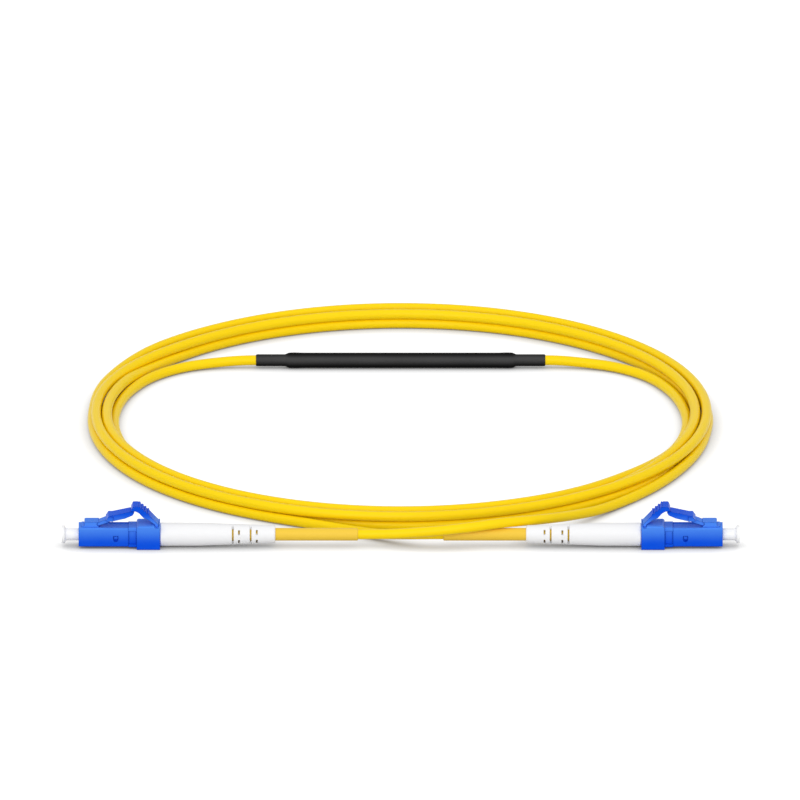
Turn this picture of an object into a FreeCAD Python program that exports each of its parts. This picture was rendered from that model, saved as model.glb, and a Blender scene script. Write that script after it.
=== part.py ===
import FreeCAD, Part
import math
import os

from FreeCAD import Base, Vector

os.makedirs("parts", exist_ok=True)

# A coiled single-fibre test cable with a small latching plug on each end and a sealed splice tube in line.
# Millimetres, +Z up, standing on z = 0. The origin is the middle of the hardware's footprint.

# Cable
cable_d = 2.3
buffer_d = 0.9

# Coil of loose turns
coil_radius = 68.3
coil_lanes = 3
coil_layers = 2

# Where the plugs and the splice tube lie, measured from the middle of the coil
plug_setback = 80.0
tube_setback = 39.5
sleeve_gap = 19.4

# Fits
press_gap = 0.02
running_gap = 0.05
slip_gap = 0.1

# Plug housing
housing_side = 4.5
housing_len = 11.3
housing_edge = 0.35
front_bore_depth = 4.6
web_t = 1.2
relief_depth = 0.2
relief_margin = 0.55
window_w = 1.1
window_h = 1.4
window_behind_front = 8.45
window_drop = 0.35

# Rear body behind the housing
rear_side = 5.68
rear_len = 5.3
rear_edge = 0.35
rear_chamfer = 0.4
rear_chamfer_turn = 45.0
neck_side = 4.72
neck_len = 1.9
neck_panel_inset = 0.22
neck_panel_frame = 0.16
neck_panel_h = 3.1

# Latch arm, its outline given as (behind the hinge, above the housing's top)
latch_hinge_behind_front = 4.6
latch_hinge_rise = 0.7
latch_barrel_d = 0.8
latch_root_len = 3.3
latch_root_h = 1.2
latch_root_w = 3.0
latch_root_toe = 0.7
latch_root_toe_h = 0.3
latch_stem_w = 2.4
latch_arm_w = 3.2
latch_lug_w = 4.3
latch_lug_len = 1.7
latch_shoulder_foot = (1.55, 1.72)
latch_shoulder_top = (2.15, 2.63)
latch_tip_top = (7.1, 3.72)
latch_tip_end = (8.15, 3.6)
latch_tip_under = (7.7, 2.85)
latch_belly = (6.0, 2.1)
latch_stem_under = (3.4, 1.5)

# Trigger arm, its outline given as (ahead of the rear face, above the rear body's top)
trigger_hinge_x = 0.75
trigger_barrel_d = 0.84
trigger_root_turn = 20.0
trigger_w = 3.8
trigger_back = (2.35, 2.3)
trigger_crown = (4.95, 4.45)
trigger_peak = (6.15, 4.45)
trigger_lip = (6.65, 3.32)
trigger_heel = (5.5, 3.32)
trigger_hollow = (4.7, 2.85)
trigger_knee = (3.75, 1.75)
trigger_under = (2.7, 1.35)
trigger_rib_count = 4
trigger_rib_d = 0.5
arm_round = 0.3

# Ferrule, its flange and spring
ferrule_d = 1.25
ferrule_out = 2.4
ferrule_grip = 1.1
ferrule_chamfer = 0.2
ferrule_stroke = 0.8
flange_d = 2.7
flange_len = 1.6
flange_stem_d = 1.7
flange_stem_len = 2.2
flange_bore_gap = 0.06
spring_wire = 0.3
spring_d = 2.6
spring_turns = 4
spring_wire_sides = 4

# Spring stop with its crimped tail
stop_d = 3.7
stop_pocket_d = 3.0
stop_pocket_depth = 3.0
stop_front_gap = 0.25
stop_tail_d = 2.9
stop_tail_len = 4.6
snap_rise = 0.25
crimp_wall = 0.32
crimp_len = 4.2

# Bend relief boot with its slots
boot_len = 26.2
boot_front_d = 5.34
boot_straight_len = 9.0
boot_straight_d = 5.26
boot_rear_d = 4.1
boot_edge = 0.2
boot_slot_w = 0.4
boot_slot_pair = 1.4
boot_slot_pitch = 4.05
boot_slot_pairs = 2
boot_slot_rear = 4.2
boot_bridge_w = 1.2
boot_dash_reach = 3.1

# Stiffening sleeve over the cable
sleeve_d = 2.9
sleeve_out_len = 18.8
sleeve_edge = 0.15

# Dust cap
cap_stem_d = 2.76
cap_flange_d = 4.1
cap_out_len = 3.85
cap_in_len = 2.0
cap_rim_t = 0.7
cap_flare_len = 0.65
cap_flare_turn = 45.0
cap_tip_gap = 0.3
cap_edge = 0.12

# In-line splice tube
tube_d = 3.6
tube_wall = 0.35
tube_body_len = 51.3
tube_shoulder_len = 1.1
tube_end_d = 2.76
tube_end_len = 6.6
splice_rod_inset = 1.5

# Free cable between the hardware. It leaves straight, and then follows points given from the middle of
# the coil, each with its lift above lying on the table. The left one rides over the right plug's sleeve.
straight_out = 3.0
arc_share = 0.45
tail_routes = {
    "left": [
        (-1.0, -80.8, 2.05),
        (8.5, -82.4, 3.35),
        (16.0, -82.0, 4.1),
        (23.0, -80.4, 4.65),
        (30.5, -76.0, 3.65),
        (38.5, -68.0, 1.7),
        (47.0, -58.5, 0.0),
        (59.6, -42.2, 0.0),
        (68.4, -22.1, 0.0),
        (70.9, -3.0, 0.0),
    ],
    "right": [
        (1.4, -79.05, 1.3),
        (-5.2, -76.0, 0.25),
        (-11.5, -72.75, 0.0),
        (-20.5, -68.3, 0.0),
        (-31.0, -63.6, 0.0),
    ],
}
lead_routes = {
    "left": [
        (-42.2, 39.0, 0.25),
        (-49.2, 36.4, 0.1),
        (-56.6, 30.4, 1.0),
        (-62.1, 21.2, 2.15),
        (-65.0, 12.2, 2.3),
    ],
    "right": [
        (42.2, 39.0, 0.25),
        (49.2, 36.4, 0.0),
        (56.6, 30.4, 0.0),
        (62.1, 21.2, 0.0),
        (64.7, 12.1, 0.0),
    ],
}

# Sizes that follow
housing_x = rear_len + neck_len
housing_top = housing_side / 2
front_x = housing_x + housing_len
web_x = front_x - front_bore_depth - web_t
rear_top = rear_side / 2
plug_axis_z = rear_side / 2
flange_x = web_x - running_gap - flange_len
stop_front_x = flange_x - stop_front_gap
pocket_x = stop_front_x - stop_pocket_depth
latch_x = front_x - latch_hinge_behind_front
latch_z = housing_top + latch_hinge_rise
crimp_d = stop_tail_d + 2 * (press_gap + crimp_wall)
cable_end_x = -stop_tail_len
sleeve_end_x = -boot_len - sleeve_out_len
plug_rear_x = sleeve_gap / 2 - sleeve_end_x
tube_half = tube_body_len / 2 + tube_shoulder_len + tube_end_len
splice_half = tube_body_len / 2 - splice_rod_inset
tube_axis_z = tube_d / 2
coil_y = (plug_setback - tube_setback + rear_side / 2 - tube_d / 2) / 2
X_AXIS = Vector(1, 0, 0)
Y_AXIS = Vector(0, 1, 0)
Z_AXIS = Vector(0, 0, 1)


def rod(diameter, x0, x1):
    """A round bar along the plug's axis."""
    return Part.makeCylinder(diameter / 2, x1 - x0, Vector(x0, 0, 0), X_AXIS)


def pipe(outer_d, inner_d, x0, x1):
    """A round bar with a bore along its whole length."""
    return rod(outer_d, x0, x1).cut(rod(inner_d, x0, x1))


def cross_rod(diameter, x, z, width):
    """A round bar across the plug, centred on its middle plane."""
    return Part.makeCylinder(diameter / 2, width, Vector(x, -width / 2, z), Y_AXIS)


def block(x0, x1, width, z0, z1):
    """A box centred on the plug's middle plane."""
    return Part.makeBox(x1 - x0, width, z1 - z0, Vector(x0, -width / 2, z0))


def lengthwise_edges(shape):
    """The straight edges that run along the plug's axis."""
    picked = []
    for edge in shape.Edges:
        along = edge.Vertexes[-1].Point - edge.Vertexes[0].Point
        if along.Length > 0 and along.cross(X_AXIS).Length < Base.Precision.confusion():
            picked.append(edge)
    return picked


def turned(outline):
    """Turns a closed outline of (x, radius) points about the plug's axis."""
    points = [Vector(x, 0, radius) for x, radius in outline]
    face = Part.Face(Part.makePolygon(points + points[:1]))
    return face.revolve(Vector(0, 0, 0), X_AXIS, 360)


def rounded_outline(corners):
    """A face in the plug's middle plane from (x, z, corner radius) corners."""
    points = [Vector(x, 0, z) for x, z, _ in corners]
    edges = []
    ends = []
    for index, (_, _, radius) in enumerate(corners):
        corner = points[index]
        back = (points[index - 1] - corner).normalize()
        ahead = (points[(index + 1) % len(points)] - corner).normalize()
        half = back.getAngle(ahead) / 2
        reach = radius / math.tan(half)
        start = corner + back * reach
        end = corner + ahead * reach
        ends.append((start, end))
        if radius > 0:
            inward = (back + ahead).normalize()
            middle = corner + inward * (radius / math.sin(half) - radius)
            edges.append(Part.Arc(start, middle, end).toShape())
    for index, (_, end) in enumerate(ends):
        following = ends[(index + 1) % len(ends)][0]
        edges.append(Part.LineSegment(end, following).toShape())
    wire = Part.Wire(Part.__sortEdges__(edges))
    return Part.Face(wire)


def plate(corners, width):
    """An outline given thickness across the plug."""
    solid = rounded_outline(corners).extrude(Vector(0, width, 0))
    solid.translate(Vector(0, -width / 2, 0))
    return solid


def latch_point(offset):
    """A place on the latch arm, from its offsets behind the hinge and above the housing."""
    return latch_x - offset[0], housing_top + offset[1]


def trigger_point(offset):
    """A place on the trigger arm, from its offsets ahead of the rear face and above the rear body."""
    return offset[0], rear_top + offset[1]


def make_housing():
    """Square front housing with the latch's fixed root, snap windows and the ferrule's bores."""
    body = block(housing_x, front_x, housing_side, -housing_top, housing_top)
    body = body.makeFillet(housing_edge, lengthwise_edges(body))
    root_front = latch_x + latch_root_len
    toe_front = root_front + latch_root_toe
    root_top = housing_top + latch_root_h
    root = plate(
        [
            (latch_x, housing_top - relief_depth, 0),
            (toe_front, housing_top - relief_depth, 0),
            (toe_front, housing_top + latch_root_toe_h, latch_root_toe_h / 2),
            (root_front, housing_top + latch_root_toe_h, 0),
            (root_front, root_top, latch_root_toe_h),
            (latch_x, root_top, 0),
        ],
        latch_root_w,
    )
    relief_w = housing_side - 2 * relief_margin
    relief = block(housing_x, latch_x, relief_w, housing_top - relief_depth, housing_top)
    body = body.cut(relief).fuse(root)
    body = body.cut(cross_rod(latch_barrel_d + 2 * running_gap, latch_x, latch_z, latch_root_w))
    window_x = front_x - window_behind_front
    window_low = -window_drop - window_h / 2 + window_w / 2
    window_high = window_low + window_h - window_w / 2
    body = body.cut(cross_rod(window_w, window_x, window_low, housing_side))
    body = body.cut(
        block(window_x - window_w / 2, window_x + window_w / 2, housing_side, window_low, window_high)
    )
    body = body.cut(rod(cap_stem_d + 2 * slip_gap, front_x - front_bore_depth, front_x))
    body = body.cut(rod(ferrule_d + 2 * slip_gap, web_x, front_x))
    body = body.cut(rod(stop_d + 2 * press_gap, housing_x, web_x))
    return body.removeSplitter()


def make_latch():
    """Sprung latch arm with its pair of locking lugs, hinged at the housing's root."""
    stem_top = latch_z + latch_barrel_d / 2
    stem_low = latch_z - latch_barrel_d / 2
    foot = latch_point(latch_shoulder_foot)
    shoulder = latch_point(latch_shoulder_top)
    tip_top = latch_point(latch_tip_top)
    tip_end = latch_point(latch_tip_end)
    tip_under = latch_point(latch_tip_under)
    belly = latch_point(latch_belly)
    under = latch_point(latch_stem_under)
    stem = plate(
        [(latch_x, stem_low, 0), (latch_x, stem_top, 0), (*foot, 0), (*under, 0)],
        latch_stem_w,
    )
    arm = plate(
        [
            (*foot, 0.0),
            (*shoulder, arm_round),
            (*tip_top, arm_round),
            (*tip_end, arm_round / 2),
            (*tip_under, arm_round),
            (*belly, 0.0),
            (*under, 0.0),
        ],
        latch_arm_w,
    )
    lug_cut = block(foot[0] - latch_lug_len, foot[0], latch_lug_w, under[1], shoulder[1])
    lugs = plate(
        [(*foot, 0.0), (*shoulder, arm_round), (*tip_top, 0.0), (*belly, 0.0), (*under, 0.0)],
        latch_lug_w,
    ).common(lug_cut)
    barrel = cross_rod(latch_barrel_d, latch_x, latch_z, latch_stem_w)
    return stem.fuse([arm, lugs, barrel]).removeSplitter()


def make_rear_body():
    """Square rear body and its neck, bored for the spring stop and grooved for the trigger's root."""
    body = block(0, rear_len, rear_side, -rear_top, rear_top)
    body = body.makeFillet(rear_edge, lengthwise_edges(body))
    ramp = Part.makeBox(rear_side, rear_side, rear_side, Vector(0, -rear_side / 2, 0))
    ramp.rotate(Vector(0, 0, 0), Y_AXIS, rear_chamfer_turn)
    ramp.translate(Vector(rear_len - rear_chamfer, 0, rear_top))
    body = body.cut(ramp)
    neck_half = neck_side / 2
    neck = block(rear_len, housing_x, neck_side, -neck_half, neck_half)
    neck = neck.makeFillet(rear_edge, lengthwise_edges(neck))
    panel_x0 = rear_len + neck_panel_frame
    panel_x1 = housing_x - neck_panel_frame
    panel = block(panel_x0, panel_x1, neck_side, -neck_panel_h / 2, neck_panel_h / 2)
    core = block(panel_x0, panel_x1, neck_side - 2 * neck_panel_inset, -neck_half, neck_half)
    neck = neck.cut(panel.cut(core))
    body = body.fuse(neck)
    body = body.cut(cross_rod(trigger_barrel_d + 2 * running_gap, trigger_hinge_x, rear_top, rear_side))
    return body.cut(rod(stop_d + 2 * press_gap, 0, housing_x)).removeSplitter()


def make_trigger():
    """Ribbed trigger arm that leans over the latch's tip and presses it down."""
    back = trigger_point(trigger_back)
    crown = trigger_point(trigger_crown)
    root_reach = trigger_barrel_d / 2 * math.cos(math.radians(trigger_root_turn))
    root_rise = trigger_barrel_d / 2 * math.sin(math.radians(trigger_root_turn))
    corners = [
        (trigger_hinge_x - root_reach, rear_top + root_rise, 0),
        (*back, 0),
        (*crown, arm_round),
        (*trigger_point(trigger_peak), arm_round),
        (*trigger_point(trigger_lip), arm_round / 2),
        (*trigger_point(trigger_heel), arm_round),
        (*trigger_point(trigger_hollow), arm_round),
        (*trigger_point(trigger_knee), arm_round),
        (*trigger_point(trigger_under), arm_round),
        (trigger_hinge_x + root_reach, rear_top + root_rise, 0),
    ]
    arm = plate(corners, trigger_w)
    pieces = [cross_rod(trigger_barrel_d, trigger_hinge_x, rear_top, trigger_w)]
    for index in range(trigger_rib_count):
        share = (index + 0.5) / trigger_rib_count
        rib_x = back[0] + (crown[0] - back[0]) * share
        rib_z = back[1] + (crown[1] - back[1]) * share
        pieces.append(cross_rod(trigger_rib_d, rib_x, rib_z, trigger_w))
    return arm.fuse(pieces).removeSplitter()


def make_ferrule():
    """Ceramic ferrule with a chamfered tip."""
    back_x = flange_x + flange_len - ferrule_grip
    tip_x = front_x + ferrule_out
    radius = ferrule_d / 2
    return turned(
        [
            (back_x, 0),
            (back_x, radius),
            (tip_x - ferrule_chamfer, radius),
            (tip_x, radius - ferrule_chamfer),
            (tip_x, 0),
        ]
    )


def make_flange():
    """Metal flange that carries the ferrule and takes the spring."""
    front = flange_x + flange_len
    body = rod(flange_d, flange_x, front)
    body = body.fuse(rod(flange_stem_d, flange_x - flange_stem_len, flange_x))
    body = body.cut(rod(ferrule_d + 2 * press_gap, front - ferrule_grip, front))
    return body.cut(rod(buffer_d + 2 * flange_bore_gap, flange_x - flange_stem_len, front)).removeSplitter()


def make_spring():
    """Helical spring between the stop's pocket and the flange."""
    low = pocket_x + spring_wire / 2 + press_gap
    high = flange_x - spring_wire / 2 - running_gap
    helix = Part.makeHelix((high - low) / spring_turns, high - low, (spring_d - spring_wire) / 2)
    start = Vector((spring_d - spring_wire) / 2, 0, 0)
    corners = []
    for index in range(spring_wire_sides + 1):
        angle = math.radians(360 * index / spring_wire_sides)
        corners.append(start + Vector(math.cos(angle), 0, math.sin(angle)) * (spring_wire / 2))
    section = Part.makePolygon(corners)
    coil = Part.Wire(helix).makePipeShell([section], True, True)
    coil.rotate(Vector(0, 0, 0), Y_AXIS, 90)
    coil.translate(Vector(low, 0, 0))
    return coil


def make_stop():
    """Spring stop: a turned tube with a spring pocket, snap bumps and a crimp tail."""
    body = rod(stop_d, 0, stop_front_x)
    body = body.fuse(rod(stop_tail_d, -stop_tail_len, 0))
    window_x = front_x - window_behind_front
    bump_half_len = window_w / 2 - slip_gap
    bump_half_h = window_h / 2 - slip_gap
    bump = block(
        window_x - bump_half_len,
        window_x + bump_half_len,
        stop_d + 2 * snap_rise,
        -window_drop - bump_half_h + window_w / 2,
        -window_drop + bump_half_h,
    )
    body = body.fuse(bump)
    body = body.cut(rod(stop_pocket_d, pocket_x, stop_front_x))
    return body.cut(rod(buffer_d + 2 * flange_bore_gap, -stop_tail_len, stop_front_x)).removeSplitter()


def make_crimp_ring():
    """Metal ring crimped over the stop's tail."""
    return pipe(crimp_d, stop_tail_d + 2 * press_gap, -crimp_len, 0)


def make_buffer():
    """Buffered fibre from the cable's end through the stop into the flange."""
    ferrule_back = flange_x + flange_len - ferrule_grip
    return rod(buffer_d, cable_end_x, ferrule_back - ferrule_stroke - slip_gap)


def boot_slot(x, width, height):
    """A thin slice across the boot, centred on its axis."""
    return block(x - boot_slot_w / 2, x + boot_slot_w / 2, width, -height / 2, height / 2)


def make_boot():
    """Tapered bend relief boot with pairs of slots near its end, one of each pair split into dashes."""
    outer_front = boot_front_d / 2
    outer_rear = boot_rear_d / 2
    body = turned(
        [
            (0, 0),
            (0, outer_front - boot_edge),
            (-boot_edge, outer_front),
            (-boot_straight_len, boot_straight_d / 2),
            (-boot_len + boot_edge, outer_rear),
            (-boot_len, outer_rear - boot_edge),
            (-boot_len, 0),
        ]
    )
    body = body.cut(rod(crimp_d + 2 * press_gap, -stop_tail_len, 0))
    body = body.cut(rod(sleeve_d + 2 * press_gap, -boot_len, 0))
    for pair in range(boot_slot_pairs):
        dash_x = -boot_len + boot_slot_rear + pair * boot_slot_pitch
        dashes = boot_slot(dash_x, boot_front_d, boot_dash_reach)
        dashes = dashes.cut(boot_slot(dash_x, boot_front_d, boot_bridge_w))
        slit_x = dash_x + boot_slot_pair
        slits = boot_slot(slit_x, boot_front_d, boot_front_d)
        slits = slits.cut(boot_slot(slit_x, boot_bridge_w, boot_front_d))
        body = body.cut(dashes).cut(slits)
    return body


def make_sleeve():
    """Stiffening sleeve over the cable, from inside the boot to past its end."""
    outer = sleeve_d / 2
    inner = cable_d / 2 + press_gap
    return turned(
        [
            (cable_end_x, inner),
            (cable_end_x, outer),
            (sleeve_end_x + sleeve_edge, outer),
            (sleeve_end_x, outer - sleeve_edge),
            (sleeve_end_x, inner),
        ]
    )


def make_cable_end():
    """Straight end of the cable inside the sleeve and boot."""
    return rod(cable_d, sleeve_end_x, cable_end_x)


def make_dust_cap():
    """Moulded dust cap with a flared grip, pushed over the ferrule."""
    stem = cap_stem_d / 2
    rim = cap_flange_d / 2
    back_x = front_x - cap_in_len
    tip_x = front_x + cap_out_len
    rim_x = tip_x - cap_rim_t
    flare_x = rim_x - cap_flare_len
    bore = ferrule_d / 2 + running_gap
    floor_x = front_x + ferrule_out + cap_tip_gap
    dip = 1 - math.sin(math.radians(cap_flare_turn))
    return turned(
        [
            (back_x, bore),
            (back_x, stem - cap_edge),
            (back_x + cap_edge, stem),
            (flare_x, stem),
            (flare_x + cap_flare_len * (1 - dip), stem + (rim - stem) * dip),
            (rim_x, rim),
            (tip_x - cap_edge, rim),
            (tip_x, rim - cap_edge),
            (tip_x, 0),
            (floor_x, 0),
            (floor_x, bore),
        ]
    )


PLUG_PIECES = {
    "housing": make_housing,
    "latch": make_latch,
    "rear_body": make_rear_body,
    "trigger": make_trigger,
    "ferrule": make_ferrule,
    "ferrule_flange": make_flange,
    "ferrule_spring": make_spring,
    "spring_stop": make_stop,
    "crimp_ring": make_crimp_ring,
    "buffer_fibre": make_buffer,
    "boot": make_boot,
    "stiffening_sleeve": make_sleeve,
    "cable_end": make_cable_end,
    "dust_cap": make_dust_cap,
}


def make_shrink_tube():
    """Black shrink tube, waisted down onto the cable at both ends."""
    body = tube_body_len / 2
    shoulder = body + tube_shoulder_len
    big = tube_d / 2
    small = tube_end_d / 2
    outer = turned(
        [
            (-tube_half, 0),
            (-tube_half, small),
            (-shoulder, small),
            (-body, big),
            (body, big),
            (shoulder, small),
            (tube_half, small),
            (tube_half, 0),
        ]
    )
    outer = outer.cut(rod(tube_d - 2 * tube_wall, -splice_half, splice_half))
    return outer.cut(rod(cable_d + 2 * press_gap, -tube_half, tube_half))


def make_splice_guard():
    """Rigid metal tube that guards the splice inside the shrink tube."""
    outer_d = tube_d - 2 * tube_wall - 2 * press_gap
    return pipe(outer_d, buffer_d + 2 * flange_bore_gap, -splice_half, splice_half)


def make_splice_fibre():
    """Buffered fibre through the splice guard."""
    return rod(buffer_d, -splice_half, splice_half)


def make_cable_stub():
    """Cable inside the shrink tube's narrow end, up to the splice guard."""
    return rod(cable_d, splice_half, tube_half)


def make_coil():
    """One closed solid round all the turns of the coil."""
    half_width = coil_lanes * cable_d / 2
    height = coil_layers * cable_d
    ring = Part.makeCylinder(coil_radius + half_width, height)
    ring = ring.cut(Part.makeCylinder(coil_radius - half_width, height))
    return ring.makeChamfer(cable_d / 3, [edge for edge in ring.Edges if edge.Closed])


def make_cord_tube(name, points):
    """A cable along straight runs joined by tangent arcs, each as large as its two runs allow."""
    edges = []
    radii = []
    start = points[0]
    for index in range(1, len(points) - 1):
        corner = points[index]
        back = points[index - 1] - corner
        ahead = points[index + 1] - corner
        reach = arc_share * min(back.Length, ahead.Length)
        half_turn = (math.pi - back.getAngle(ahead)) / 2
        radius = reach / math.tan(half_turn)
        radii.append(radius)
        arc_start = corner + back.normalize() * reach
        arc_end = corner + ahead.normalize() * reach
        inward = (back + ahead).normalize()
        middle = corner + inward * (radius / math.cos(half_turn) - radius)
        edges.append(Part.LineSegment(start, arc_start).toShape())
        edges.append(Part.Arc(arc_start, middle, arc_end).toShape())
        start = arc_end
    edges.append(Part.LineSegment(start, points[-1]).toShape())
    path = Part.Wire(edges)
    heading = (points[1] - points[0]).normalize()
    section = Part.Wire(Part.makeCircle(cable_d / 2, points[0], heading))
    tube = path.makePipeShell([section], True, False)
    expected = math.pi * cable_d ** 2 / 4 * path.Length
    print(name, "radii", [round(radius, 1) for radius in radii])
    print(name, "length", round(path.Length, 1), "volume share", round(tube.Volume / expected, 4))
    return tube


def route_points(first, outward, route):
    """The cable's points in the part's frame: straight out of the hardware, then the free ones."""
    second = first + Vector(outward * straight_out, 0, 0)
    free = [Vector(x, coil_y + y, cable_d / 2 + lift) for x, y, lift in route]
    return [first, second] + free


def export(name, shape):
    """Writes one piece to its own file."""
    shape.exportStep("parts/" + name + ".step")


plug_y = coil_y - plug_setback
tube_y = coil_y + tube_setback

for side, turn, across in (("right", 0, 1), ("left", 180, -1)):
    for piece, make in PLUG_PIECES.items():
        solid = make()
        solid.rotate(Vector(0, 0, 0), Z_AXIS, turn)
        solid.translate(Vector(across * plug_rear_x, plug_y, plug_axis_z))
        export(side + "_" + piece, solid)
    stub = make_cable_stub()
    stub.rotate(Vector(0, 0, 0), Z_AXIS, turn)
    stub.translate(Vector(0, tube_y, tube_axis_z))
    export(side + "_cable_stub", stub)
    lead_start = Vector(across * tube_half, tube_y, tube_axis_z)
    lead = make_cord_tube(side + "_lead", route_points(lead_start, across, lead_routes[side]))
    export(side + "_lead", lead)
    tail_start = Vector(across * sleeve_gap / 2, plug_y, plug_axis_z)
    tail = make_cord_tube(side + "_tail", route_points(tail_start, -across, tail_routes[side]))
    export(side + "_tail", tail)

for name, make in (
    ("shrink_tube", make_shrink_tube),
    ("splice_guard", make_splice_guard),
    ("splice_fibre", make_splice_fibre),
):
    solid = make()
    solid.translate(Vector(0, tube_y, tube_axis_z))
    export(name, solid)

coil = make_coil()
coil.translate(Vector(0, coil_y, 0))
export("cable_coil", coil)
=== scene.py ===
import logging
import math
from dataclasses import dataclass
from enum import Enum
from typing import Any, Dict, List, Mapping, Optional, Sequence, Tuple, Union

import bmesh
import bpy
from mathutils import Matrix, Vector


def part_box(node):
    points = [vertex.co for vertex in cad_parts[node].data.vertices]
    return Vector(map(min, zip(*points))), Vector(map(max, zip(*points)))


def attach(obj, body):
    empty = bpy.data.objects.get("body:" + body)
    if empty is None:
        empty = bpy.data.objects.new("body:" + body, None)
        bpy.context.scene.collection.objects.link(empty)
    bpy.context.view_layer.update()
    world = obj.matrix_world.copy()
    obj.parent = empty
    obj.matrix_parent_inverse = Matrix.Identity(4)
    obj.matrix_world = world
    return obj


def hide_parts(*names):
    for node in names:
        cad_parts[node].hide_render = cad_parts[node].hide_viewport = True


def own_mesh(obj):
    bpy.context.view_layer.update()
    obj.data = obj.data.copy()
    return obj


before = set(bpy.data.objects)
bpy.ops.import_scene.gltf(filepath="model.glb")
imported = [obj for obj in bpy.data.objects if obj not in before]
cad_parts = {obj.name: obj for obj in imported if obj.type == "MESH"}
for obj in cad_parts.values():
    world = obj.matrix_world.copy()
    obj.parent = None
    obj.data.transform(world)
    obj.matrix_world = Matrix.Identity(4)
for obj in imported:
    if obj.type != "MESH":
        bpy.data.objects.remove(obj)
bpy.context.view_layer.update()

LOG = logging.getLogger("test_cable")
MM = 0.001
ROOT_BODY = "cable"
AROUND = "around"

Colour = Tuple[float, float, float]
Point = Tuple[float, float, float]
Corner = Tuple[float, float]
Outline = List[Corner]

# How an edge is found: cosines of the lean of a softened surface where it starts to show and shows in full.
EDGE_STARTS = 0.99
EDGE_FULL = 0.86
# The share of a side that the arc at one of its ends may take up.
LARGEST_CORNER = 0.45


class Side(Enum):
    """Which end of the cable a plug is on. The value is the way it points along X."""

    LEFT = -1
    RIGHT = 1

    def node(self, piece: str) -> str:
        """The CAD node of one of this side's pieces."""
        return f"{self.name.lower()}_{piece}"

    def opposite(self) -> "Side":
        """The other side."""
        return Side(-self.value)


def middle_of(node: str) -> Point:
    """The middle of a CAD node's box.

    Args:
        node: The node's name.

    Returns:
        The place in metres.
    """
    low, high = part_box(node)
    return ((low[0] + high[0]) / 2, (low[1] + high[1]) / 2, (low[2] + high[2]) / 2)


def end_of(node: str, side: Side) -> Point:
    """The middle of the end face of a CAD node's box.

    Args:
        node: The node's name.
        side: The way that the face looks along X.

    Returns:
        The place in metres.
    """
    low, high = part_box(node)
    along = high[0] if side is Side.RIGHT else low[0]
    return (along, *middle_of(node)[1:])


def eased(value: float, start: float, end: float) -> float:
    """How far a value has gone from one level to another, slowly at both ends.

    Args:
        value: The value.
        start: Where the result is 0.
        end: Where the result is 1. It may be the lower of the two.

    Returns:
        A share from 0 to 1.
    """
    share = min(max((value - start) / (end - start), 0.0), 1.0)
    return share * share * (3 - 2 * share)


class Socket:
    """A shader value that can be used in Python sums."""

    def __init__(self, graph: "Graph", link: bpy.types.NodeSocket) -> None:
        """Keeps the socket and the graph that its sums go into."""
        self.graph = graph
        self.link = link

    def __add__(self, other: "Number") -> "Socket":
        """Adds a value."""
        return self.graph.math("ADD", self, other)

    def __radd__(self, other: "Number") -> "Socket":
        """Is added to a value."""
        return self.graph.math("ADD", other, self)

    def __sub__(self, other: "Number") -> "Socket":
        """Takes a value away."""
        return self.graph.math("SUBTRACT", self, other)

    def __rsub__(self, other: "Number") -> "Socket":
        """Is taken away from a value."""
        return self.graph.math("SUBTRACT", other, self)

    def __mul__(self, other: "Number") -> "Socket":
        """Multiplies by a value."""
        return self.graph.math("MULTIPLY", self, other)

    def __rmul__(self, other: "Number") -> "Socket":
        """Multiplies a value."""
        return self.graph.math("MULTIPLY", other, self)

    def largest(self, other: "Number") -> "Socket":
        """The larger of this and another value."""
        return self.graph.math("MAXIMUM", self, other)


Number = Union[Socket, float]


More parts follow.
